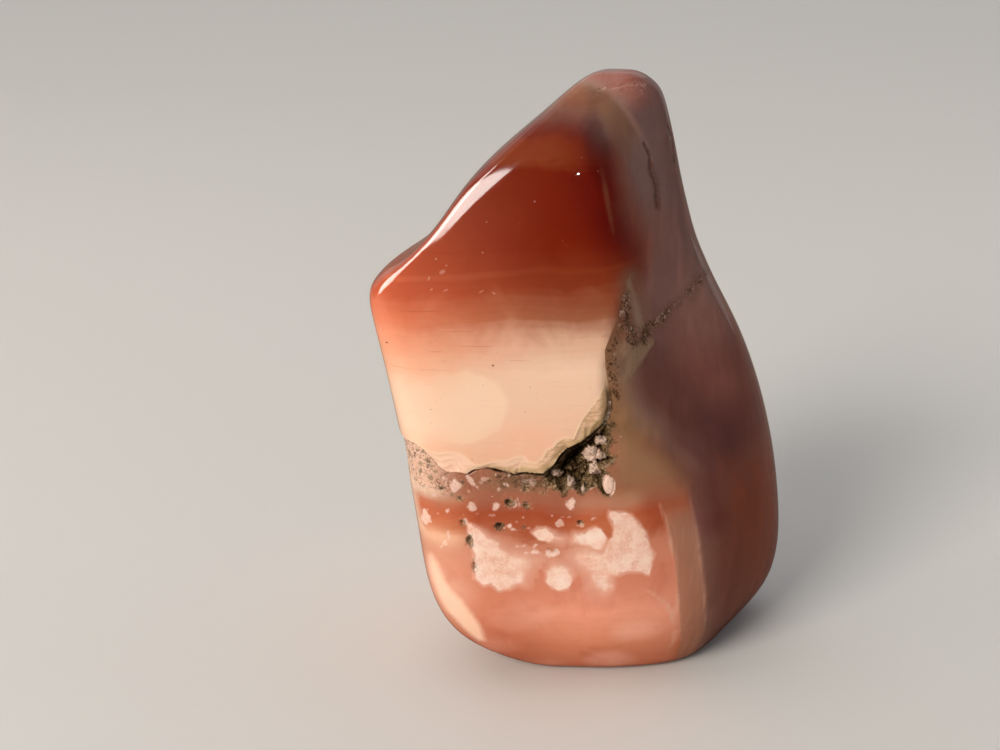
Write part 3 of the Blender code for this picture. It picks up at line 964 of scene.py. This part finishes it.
def plateColour():  # cream low down, through peach to deep red, lighter at the left edge
    leftToRidge = shareOf(across, -27.5, -3)
    plate = Coat(blend(leftToRidge, bands(fineHeight, "plateLeft"), bands(fineHeight, "plateRidge")))
    disc = shake(oval(-17.3, 41, 6.6, 4.8), mottle, 0.5)
    plate.lay(product(shareOf(disc, 1.05, 0.9, 0, 0.5), sideways(-23, -14), onFront), "cream")
    blush = shareOf(oval(-9, 36.5, 6, 3), 1.3, 0.4, 0, 0.35)
    plate.lay(product(blush, onFront), "blush")
    streaks = threads((0.12, 0.12, 2.2), 4, 0.6, layered)
    plate.tint(shareOf(streaks, 0.58, 0.75, 0, 0.25), "streakTint")
    brightLine = calc("ABSOLUTE", calc("SUBTRACT", calc("SUBTRACT", height, 58), product(across, 0.035)))
    plate.tint(shareOf(brightLine, 0.6, 0.1, 0, 0.3), "brightLineTint")
    smear = shareOf(cloud(2.6, 6, 0.7, 1.5), 0.62, 0.78, 0, 0.25)
    plate.lay(product(smear, upwards(52, 56)), "smear")
    return plate.colour


def lowerColour():  # below the rim: brownish, then a red band, then clear pink with soft lobes
    lower = Coat(bands(fineHeight, "lower"))
    lower.lay(product(sideways(1, 5), upwards(27, 33, 0, 0.8)), "olive")
    lower.lay(product(upwards(35.5, 38.5), sideways(0, 1), 0.9), "besidePlate")
    lower.lay(product(sideways(-16.5, -22.5), upwards(27.5, 30, 0, 0.8)), "underLeft")
    lobes = cells(7.5, stretch((0.8, 0.8, 1.2), layered))
    lower.lay(product(upwards(24, 19), shareOf(lobes, 0.5, 0.15, 0, 0.3)), "lobe")
    lower.tint(shareOf(mottle, 0.5, 0.72, 0, 0.45), "mottleTint")
    lower.tint(product(sideways(-12, -2), upwards(18, 9), sideways(14, 11)), "footTint")
    bandEnds = largest(sideways(-14, -19), product(sideways(-5, 1), sideways(8, 5)))
    lower.tint(product(bandEnds, upwards(20, 24), upwards(30.5, 28)), "bandEndTint")
    lower.tint(product(sideways(-13, -20), upwards(26, 22), upwards(4, 9)), "lowLeftTint")
    # a cream band on the lower left and a strip up the left edge, partly the stone's own cream and partly
    # a painted reflection of the light
    lower.lay(shareOf(rough(mark("creamAndReflection"), 0.9), 0.5, -0.8, 0, 0.75), "creamAndReflection")

    # Stains and bubbles in the worn zone under the rim.
    stain = shake(oval(-8.5, 31, 7, 1.9), cloud(1.5, 4, 0.6), 1.2)
    lower.lay(product(shareOf(stain, 1.1, 0.6, 0, 0.6), worn), "stain")
    bubbles = product(shareOf(cells(1.15), 0.2, 0.13), calc("GREATER_THAN", cloud(1.9, 1), 0.56))
    lower.lay(product(bubbles, worn, 0.55), "pale")

    # Cloudy patches and pale marks.
    softEdge = calc("ADD", mark("cloudSoftness"), 0.3)
    around = calc("DIVIDE", shake(mark("clouds"), mottle, 1.2), calc("MULTIPLY", softEdge, 1.3))
    lower.lay(shareOf(around, 1, -0.4, 0, 0.55), "cloudDeep")
    edges = shake(rough(mark("clouds"), 0.9), cells(1.3), 0.6)
    covered = calc("DIVIDE", calc("MULTIPLY", edges, -1.0), softEdge)
    cloudy = cloud(1.6, 3, 0.5)
    patch = Coat(blend(shareOf(cloudy, 0.35, 0.62), "cloudDeep", "cloud"))
    patch.lay(shake(product(mark("bright"), 0.9), cloudy, 0.5), "cloudPale")
    patch.tint(shareOf(speckle, 0.52, 0.66, 0, 0.5), "cloudGrainTint")
    patch.lay(shareOf(speckle, 0.45, 0.36, 0, 0.5), "cloudPale")
    lower.lay(product(shareOf(covered, 0.0, 1.0), 0.92), patch.colour)
    pale = shake(rough(mark("pale"), 1.1), cells(0.8), 0.5)
    paleColour = blend(shareOf(speckle, 0.38, 0.58), "paleDull", "pale")
    lower.lay(product(shareOf(pale, 0.16, -0.16), mark("paleness")), paleColour)

    # Clear layers at the right, with pale edges.
    layer = mark("layer")
    clear = product(shareOf(layer, -0.15, 0.2), upwards(29, 24))
    lower.lay(product(clear, 0.85), bands(layer, "layers"))
    upright = threads((0.9, 0.9, 0.07))
    lower.tint(product(clear, shareOf(upright, 0.48, 0.7, 0, 0.6)), "threadPaleTint")
    lower.tint(product(clear, shareOf(upright, 0.48, 0.32, 0, 0.5)), "threadDarkTint")
    curves = product(shareOf(mark("curves"), 0.35, -0.1), shareOf(mottle, 0.38, 0.6, 0.15, 0.6))
    lower.lay(curves, "layerEdge")
    return lower.colour


def paintSide(base):  # mauve, in bands that follow its edge, with a painted sheen along its far edge high up and painted shade where it meets the front near the tip
    soft = shake(0.0, cloud(9, 2, 0.5), 4)
    sideEdge = calc("ADD", mark("side"), product(soft, upwards(24, 36)))
    sideBand = calc("ADD", mark("side"), product(soft, 0.6))
    side = Coat(bands(sideBand, "sideMiddle"))
    # high up, with a painted sheen towards the far edge
    side.lay(shareOf(shake(trueHeight, mottle, 6), 42, 56), bands(sideBand, "sideHighAndEdgeSheen"))
    side.lay(shareOf(shake(trueHeight, mottle, 9), 34, 23), bands(sideBand, "sideLow"))
    side.tint(product(upwards(38, 34), upwards(20, 24), shareOf(sideBand, 5.5, 3.5)), "sideEdgeTint")
    shade = product(upwards(40, 35), upwards(29, 33), shareOf(sideBand, 3.5, 6.5))
    side.tint(product(shade, shareOf(sideBand, 18, 12)), "shadeTint")
    side.tint(shareOf(cloud(9, 4, 0.6, 1.2), 0.4, 0.72, 0, 0.3), "hazeTint")
    highUp = product(upwards(62, 67), shareOf(sideBand, 0.8, 2.4), shareOf(sideBand, 9, 6))
    side.tint(highUp, "highUpTint")
    veil = threads((0.5, 0.1, 0.06), vector=layered)
    side.tint(shareOf(veil, 0.5, 0.75, 0, 0.5), "veilPaleTint")
    side.tint(shareOf(veil, 0.45, 0.3, 0, 0.4), "veilDarkTint")
    base.tint(product(shareOf(sideEdge, -8, -1), upwards(56, 64, 0, 0.9)), "deepRedTint")
    # a dark maroon band where the side meets the front near the tip: painted shade on the stone's own
    # maroon
    base.lay(product(shareOf(sideEdge, -4.5, -0.5), upwards(70, 74, 0, 0.8)), "ridgeShadeMaroon")
    softness = upwards(26, 33, 0.55, 1.6)
    isSide = calc("DIVIDE", calc("ADD", sideEdge, softness), calc("MULTIPLY", softness, 2.0))
    base.lay(shareOf(isSide, 0, 1), side.colour)
    flame = rough(oval(1.7, 66.2, 0.3, 3.2, 11), 2.4)
    base.lay(product(shareOf(flame, 1.8, 0.2, 0, 0.45), onFront), "flame")


def paintTip(base):  # the cap, the arched bands under it, painted shade down the ridge, and the crackle
    cap = rough(mark("cap"), 0.5)
    banded = product(shareOf(cap, 7.5, 3.5), upwards(70, 75))
    banded = product(banded, largest(upwards(75, 78.5), shareOf(cap, -0.5, 0.4)), sideways(4, 8, 1, 0.3))
    base.lay(banded, bands(cap, "capBands"))
    base.tint(product(sideways(0.5, -2), shareOf(cap, 0.3, 1), banded), "capLeftTint")
    # a dark band down the ridge under the tip: painted shade where the front turns away to the side
    ridgeShade = shareOf(shake(oval(0.4, 72.8, 1.9, 4.6, 8), mottle, 1), 1.3, 0.4, 0, 0.75)
    base.tint(product(ridgeShade, onFront), "ridgeShadeTint")
    base.tint(product(shareOf(mottle, 0.45, 0.65, 0, 0.6), banded), "capMottleTint")
    crackle = mark("tipFissures")
    fine = product(shareOf(rough(crackle, 2.4), 0.4, 0.0), shareOf(speckle, 0.42, 0.56), 0.45)
    grains = product(shareOf(crackle, 1.5, 0.1), shareOf(speckle, 0.54, 0.62), 0.4)
    base.lay(largest(fine, grains), "tipCrackle")


def paintVeins(base):  # crust beside the plate, and grains scattered along the veins
    crust = rough(mark("crust"), 1.6)
    crustSoft = sideways(4, 7.5, 1.6, 0.3)  # soft on its left, clear on its right
    crustShare = shareOf(calc("DIVIDE", crust, crustSoft), 0.8, -0.8, 0, 0.7)
    base.lay(crustShare, blend(shareOf(mottle, 0.4, 0.6), "crust", "crustBrown"))
    paleVein = rough(mark("paleVein"), 1.8)
    base.lay(shareOf(paleVein, 2.2, 0.2, 0, 0.5), "veinHalo")
    base.lay(shareOf(paleVein, 0.45, -0.3, 0, 0.55), "veinCore")
    veins = shake(rough(mark("veins"), 2.2), cloud(1.8, 3, 0.6), 3.4)
    base.lay(product(shareOf(veins, 1.6, 0.2), 0.4), "veinShade")
    along = shareOf(cloud(3.2, 2, 0.5), 0.38, 0.56, 0.3, 1.1)
    scattered = largest(product(shareOf(veins, 1.5, 0.0), along), product(crustShare, 0.45))
    isPale = shareOf(calc("MULTIPLY_ADD", scattered, -0.17, coarse), 0.27, 0.25)
    aroundVein = product(shareOf(paleVein, 3.0, 1.0), shareOf(paleVein, 0.0, 0.6), upwards(56, 53))
    aroundVein = product(aroundVein, largest(sideways(5.4, 4.6), upwards(51.4, 50.2)))
    alongEdge = product(shareOf(plateEdge, 2.6, 0.9), upwards(40.5, 42), upwards(55, 53))
    alongEdge = product(alongEdge, shareOf(plateEdge, -0.1, 0.3), sideways(0.5, 1))
    scattered = largest(scattered, product(aroundVein, 1.2), product(alongEdge, 0.95))
    isDark = calc("MULTIPLY_ADD", scattered, 0.17, coarse)
    base.lay(product(isPale, 0.6), "grainPale")
    base.lay(shareOf(isDark, 0.64, 0.68, 0, 0.6), "grainBrown")
    base.lay(shareOf(isDark, 0.7, 0.72, 0, 0.8), "grainDark")
    cracked = calc("DIVIDE", rough(mark("fissures"), 2.6), upwards(70.5, 69, 0.6, 1.3))
    base.lay(product(shareOf(cracked, 0.8, 0.1), shareOf(speckle, 0.34, 0.46), 0.75), "fissure")
    return shareOf(calc("MINIMUM", crust, veins), 0.4, -0.2, 0, 0.7)


def paintRim(base):  # the chipped bevel: waxy and cream, brownish where it meets the gap, with a painted highlight along its crest
    polishEdge, chips = mark("polish"), mark("chips")
    chip = Coat(blend(shareOf(threads((0.5, 0.5, 2.6)), 0.42, 0.62), "chip", "chipDark"))
    chip.lay(sideways(-5, -12, 0, 0.9), "chipLeft")
    nearGap = shareOf(shake(plateEdge, mottle, 1.2), -1.1, -0.1, 0, 0.75)
    chip.lay(product(nearGap, sideways(-18, -12)), "underRim")
    chip.lay(product(shareOf(speckle, 0.62, 0.68), sideways(-14, -4, 0, 0.8)), "chipSpecks")
    chip.lay(sideways(0.5, 1.6, 0, 0.85), "chipRight")
    onChips = product(shareOf(polishEdge, -0.1, 0.15), shareOf(plateEdge, 0.1, -0.02), chips)
    base.lay(onChips, chip.colour)
    # a painted highlight along the crest of the chips, in the plate's cream
    crestHighlight = shake(calc("ABSOLUTE", polishEdge), cloud(1.8, 2), 0.35)
    base.lay(product(shareOf(crestHighlight, 0.35, 0.02, 0, 0.32), chips, sideways(1.2, 0.4)), "cream")
    seam = shareOf(calc("ABSOLUTE", rough(plateEdge, 0.8)), 0.5, 0.2, 0, 0.85)
    base.lay(product(seam, sideways(0.9, 1.6), upwards(43.8, 42.6), mark("front")), "seam")
    return onChips


def paintHollow(base, onChips):  # dirt and painted shade in everything deep, a painted shadow under the rim, moss on the floor, quartz on the lumps
    sunken, hollow = mark("sunken"), mark("hollow")
    # darker wherever the relief is sunken, in the gap, the pits and the hollow: partly dirt, partly
    # painted shade
    dark = product(shareOf(rough(sunken, 0.8), 0.45, 0.85), calc("SUBTRACT", 1.0, onChips))
    base.lay(dark, "dirtAndShade")
    mossy = shake(speckle, mark("grains"), 0.14)
    moss = Coat(blend(shareOf(mossy, 0.4, 0.52), "mossDark", "moss"))
    moss.lay(shareOf(mossy, 0.57, 0.66), "mossPale")
    # darker still on the deepest floor: partly dirt, partly painted shade
    moss.lay(shareOf(sunken, 2.5, 3.9, 0, 0.9), "dirtAndShade")
    # a painted shadow just under the rim above the hollow, in the dirt colour
    moss.lay(product(shareOf(plateEdge, 1.7, 0.3), sideways(1.5, -0.5), sideways(-6, -3.5), 0.8), "dirtAndShade")
    creeping = shareOf(shake(hollow, cloud(1.3, 4, 0.7), 5.5), 0.4, 0.0)
    underRim = shareOf(shake(oval(-8.5, 31.2, 7.5, 1.5), cloud(0.9, 3, 0.6), 1.6), 0.7, 0.45)
    creeping = product(largest(creeping, product(underRim, 0.8)), worn, shareOf(grit, 0.38, 0.48), 0.8)
    base.lay(creeping, moss.colour)
    inHollow = shareOf(rough(hollow, 1.6), 0.15, -0.3)
    base.lay(inHollow, moss.colour)
    onLump = product(shareOf(rough(mark("lumps"), 0.8), 0.08, -0.12), inHollow)
    quartz = blend(shareOf(grit, 0.36, 0.58), "quartzDull", "quartz")
    base.lay(product(onLump, shareOf(speckle, 0.68, 0.6), 0.92), quartz)
    boulder = shareOf(rough(oval(2.2, 30.6, 0.78, 1.25, 8), 0.7), 1.15, 0.8)
    base.lay(product(boulder, onFront), blend(shareOf(speckle, 0.4, 0.6), "boulderDull", "boulder"))
    return inHollow, dark


def paintPits(base):  # the pits, their pale rims, and the peppered left end of the worn zone
    pit = shareOf(rough(mark("pits"), 2.4), 0.12, -0.15)
    base.lay(product(pit, 0.85), blend(shareOf(speckle, 0.44, 0.56), "pitDark", "pitPale"))
    rims = shareOf(rough(mark("pits"), 2.2), 0.55, 0.1)
    base.lay(product(rims, shareOf(speckle, 0.56, 0.62), 0.7), "mossPale")
    clusters = shareOf(cloud(1.6, 3, 0.6), 0.42, 0.58)
    peppered = product(worn, sideways(-16, -20), upwards(28, 31), shareOf(trueOut, -6, -11))
    base.lay(product(peppered, clusters, shareOf(coarse, 0.52, 0.56), 0.9), "pepper")
    base.lay(product(peppered, clusters, shareOf(speckle, 0.5, 0.56), 0.4), "finePepper")
    base.lay(product(peppered, shareOf(speckle, 0.42, 0.36), 0.5), "cloudPale")
    return pit


def paintSpecks(base):  # specks, hairlines and dust on the polished front
    specks = rough(ovals(frontSpecks["pale"]), 1.2)
    base.lay(product(shareOf(specks, 1.2, 0.6, 0, 0.45), onFront), "paleSpecks")
    specks = ovals(frontSpecks["dark"])
    base.lay(product(shareOf(specks, 1.1, 0.7, 0, 0.8), onFront), "darkSpecks")
    specks = rough(ovals(frontSpecks["hairlines"]), 1.5)
    base.tint(product(shareOf(specks, 1.2, 0.5, 0, 0.4), onFront), "hairlineTint")
    dust = product(shareOf(cells(2.4), 0.07, 0.04), calc("GREATER_THAN", cloud(4, 1), 0.52))
    dust = product(dust, shareOf(plateEdge, -0.5, -1), onFront, sideways(-6, -12, 0.12, 0.4))
    base.lay(dust, "dust")


base = Coat(blend(isBelow, plateColour(), lowerColour()))
paintSide(base)
paintTip(base)
dullVeins = paintVeins(base)
onChips = paintRim(base)
inHollow, dark = paintHollow(base, onChips)
pit = paintPits(base)
paintSpecks(base)

# Worn places are dull, and the rest is polished with faint smears.
dull = largest(inHollow, product(onChips, 0.6), pit, dark, dullVeins, product(worn, 0.4))
polish = shareOf(cloud(11, 4, 0.6), 0.35, 0.7, *finish["polishRoughness"])
polish = product(polish, shareOf(oval(-1.9, 69.6, 5, 4), 1, 0.6, 1, 0.35))

# Fine grain in the worn places, and barely any on the polish.
grain = product(calc("MULTIPLY_ADD", grit, 0.8, cloud(0.3, 3, 0.7)), dull)
bump = addNode(tree, "Bump", {
    "Height": calc("MULTIPLY_ADD", cloud(2.2, 2, 0.5), 0.04, grain),
    "Distance": finish["grainHeight"] * mm,
    "Strength": finish["grainStrength"],
})

feedAll(shader, {
    "Base Color": base.colour,
    "Roughness": calc("MULTIPLY_ADD", dull, finish["dullRoughness"], polish),
    "Specular Tint": blend(dull, "polishTint", "dullTint"),
    "Specular IOR Level": finish["specularLevel"],
    "IOR": finish["ior"],
    "Subsurface Weight": calc("MULTIPLY_ADD", dull, -finish["translucency"], finish["translucency"]),
    "Subsurface Radius": finish["glowReach"],
    "Subsurface Scale": finish["glowDepth"] * mm,
    "Normal": bump.outputs["Normal"],
})

stone.data.materials.clear()
stone.data.materials.append(material)
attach(stone, "root")
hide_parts("carnelian")
print("finish ready:", sum(len(face.vertices) - 2 for face in stone.data.polygons), "triangles")


studio = {
    "floorSize": 6,  # m
    "floorRoughness": 0.7,
    "floor": (0.66, 0.63, 0.59),
    "floorInGloss": (0.2, 0.13, 0.1),  # warm, so that the edges of the stone stay warm
    "sky": (0.88, 0.93, 1.0),
    "skyStrength": 0.22,
    "skyInGloss": 0.09,  # the sky is dimmer in reflections, so that the deep reds stay deep
    "boxTarget": (0, 0, 40),  # mm
    "target": (-12, 1.5, 39),  # mm
    "distance": 210,
    "pitch": 20,
    "lens": 54,
    "sensorWidth": 36,
    "clipStart": 0.01,  # m
}
# Soft boxes: place, width and height in mm, turn in degrees, power in watts, colour and what they light.
softBoxes = {
    "keyBox": ((-3300, -4000, 2800), 2400, 2400, 0, 312, (1, 0.95, 0.88), "body"),
    "windowBox": ((-440, -111, 310), 390, 560, 24, 13, (1, 0.93, 0.86), "gloss"),
    "stripBox": ((-203, -239, 465), 420, 80, -13, 2.2, (1, 0.95, 0.88), "gloss"),
    "sparkBox": ((30, -325, 311), 3, 4, 0, 0.01, (1, 1, 1), "gloss"),
    "overheadBox": ((0, 1500, 3000), 5000, 5000, 0, 40, (1, 1, 1), "both"),
    "coolBox": ((420, 60, 260), 300, 300, 0, 0.2, (0.85, 0.9, 1), "body"),
    "wallBox": ((0, 900, 400), 2400, 900, 0, 2, (1, 0.9, 0.82), "gloss"),
}


def plainFloor():
    bpy.ops.object.select_all(action="DESELECT")
    bpy.ops.mesh.primitive_plane_add(size=studio["floorSize"], location=(0, 0, 0))
    floor = bpy.context.object
    floor.name = "floor"
    material = bpy.data.materials.new("plain pale floor")
    material.use_nodes = True
    floor.data.materials.append(material)
    rays = addNode(material.node_tree, "LightPath", {}).outputs["Is Glossy Ray"]
    tones = {0: rays, 6: studio["floor"], 7: studio["floorInGloss"]}
    tone = addNode(material.node_tree, "Mix", tones, data_type="RGBA").outputs[2]
    shader = material.node_tree.nodes["Principled BSDF"]
    feedAll(shader, {"Roughness": studio["floorRoughness"], "Base Color": tone})


def aim(obj, place, target, turn=0):
    obj.location = Vector(place) * mm
    facing = (Vector(target) - Vector(place)).to_track_quat("-Z", "Y")
    obj.rotation_euler = (facing @ Quaternion((0, 0, 1), math.radians(turn))).to_euler()


def addSoftBox(name, place, width, height, turn, power, colour, lights):
    light = bpy.data.lights.new(name, "AREA")
    light.shape = "RECTANGLE"
    light.size, light.size_y = width * mm, height * mm
    light.energy = power
    light.color = colour
    box = bpy.data.objects.new(name, light)
    scene.collection.objects.link(box)
    box.visible_diffuse = lights != "gloss"
    box.visible_glossy = lights != "body"
    aim(box, place, studio["boxTarget"], turn)


def softSky():
    world = bpy.data.worlds.new("soft sky")
    scene.world = world
    world.use_nodes = True
    rays = addNode(world.node_tree, "LightPath", {}).outputs["Is Glossy Ray"]
    ends = {"Value": rays, "To Min": studio["skyStrength"], "To Max": studio["skyInGloss"]}
    strength = addNode(world.node_tree, "MapRange", ends).outputs["Result"]
    feedAll(world.node_tree.nodes["Background"], {"Color": studio["sky"], "Strength": strength})


plainFloor()
softSky()
for name, setting in softBoxes.items():
    addSoftBox(name, *setting)
camera = bpy.data.objects.new("camera", bpy.data.cameras.new("camera"))
scene.collection.objects.link(camera)
camera.data.lens = studio["lens"]
camera.data.sensor_width = studio["sensorWidth"]
camera.data.clip_start = studio["clipStart"]
pitch = math.radians(studio["pitch"])
target = Vector(studio["target"])
aim(camera, target + Vector((0, -math.cos(pitch), math.sin(pitch))) * studio["distance"], target)
scene.camera = camera
scene.view_settings.view_transform = "Standard"

print("studio ready")
